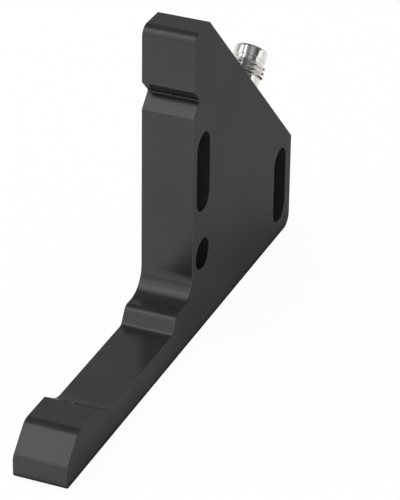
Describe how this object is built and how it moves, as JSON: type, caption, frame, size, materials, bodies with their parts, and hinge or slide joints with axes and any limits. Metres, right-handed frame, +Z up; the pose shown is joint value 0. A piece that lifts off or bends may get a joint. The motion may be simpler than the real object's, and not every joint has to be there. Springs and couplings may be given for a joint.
{
  "type": "angle light barrier",
  "caption": "Slim black L-shaped light barrier: a beam crosses the inner corner between its arms, with fixing slots and a round threaded plug on the sloping back.",
  "frame": {"origin": "middle of the round fixing hole, halfway through the plate's thickness", "axes": "+Z up along the upright arm, +Y from the lower arm's tip towards the back edge, +X along the fixing hole, out of the visible side face"},
  "size_m": [0.011, 0.111, 0.0665],
  "materials": {
    "housing_anodised": "satin black anodised, fine milled",
    "cover_anodised": "satin black anodised sheet",
    "seal_rubber": "matt",
    "screw_steel": "plain stainless",
    "connector_nickel": "bright nickel plate over turned brass",
    "carrier_plastic": "moulded matt",
    "contact_gold": "gold flash",
    "circuit_board": "lacquered glass-fibre board",
    "component_plastic": "moulded matt",
    "capacitor_can": "drawn can",
    "led_resin": "cast resin",
    "pipe_clear": "polished clear plastic",
    "window_dark": "polished dark filter",
    "holder_plastic": "moulded matt",
    "lens_clear": "polished",
    "ribbon_film": "satin film"
  },
  "bodies": {
    "root": {"housing": "housing_anodised", "side_cover": "cover_anodised", "cover_seal": "seal_rubber", "connector_shell": "connector_nickel", "contact_carrier": "carrier_plastic", "contact_pin_1": "contact_gold", "contact_pin_2": "contact_gold", "contact_pin_3": "contact_gold", "connector_seal": "seal_rubber", "connector_nut": "connector_nickel", "main_board": "circuit_board", "processor_chip": "component_plastic", "driver_chip": "component_plastic", "capacitor": "capacitor_can", "inductor": "component_plastic", "indicator_led": "led_resin", "light_pipe": "pipe_clear", "emitter_window": "window_dark", "emitter_holder": "holder_plastic", "emitter_lens": "lens_clear", "emitter_diode": "led_resin", "emitter_board": "circuit_board", "receiver_window": "window_dark", "receiver_holder": "holder_plastic", "receiver_lens": "lens_clear", "receiver_diode": "led_resin", "receiver_board": "circuit_board", "emitter_ribbon": "ribbon_film", "receiver_ribbon": "ribbon_film"}
  },
  "joints": []
}
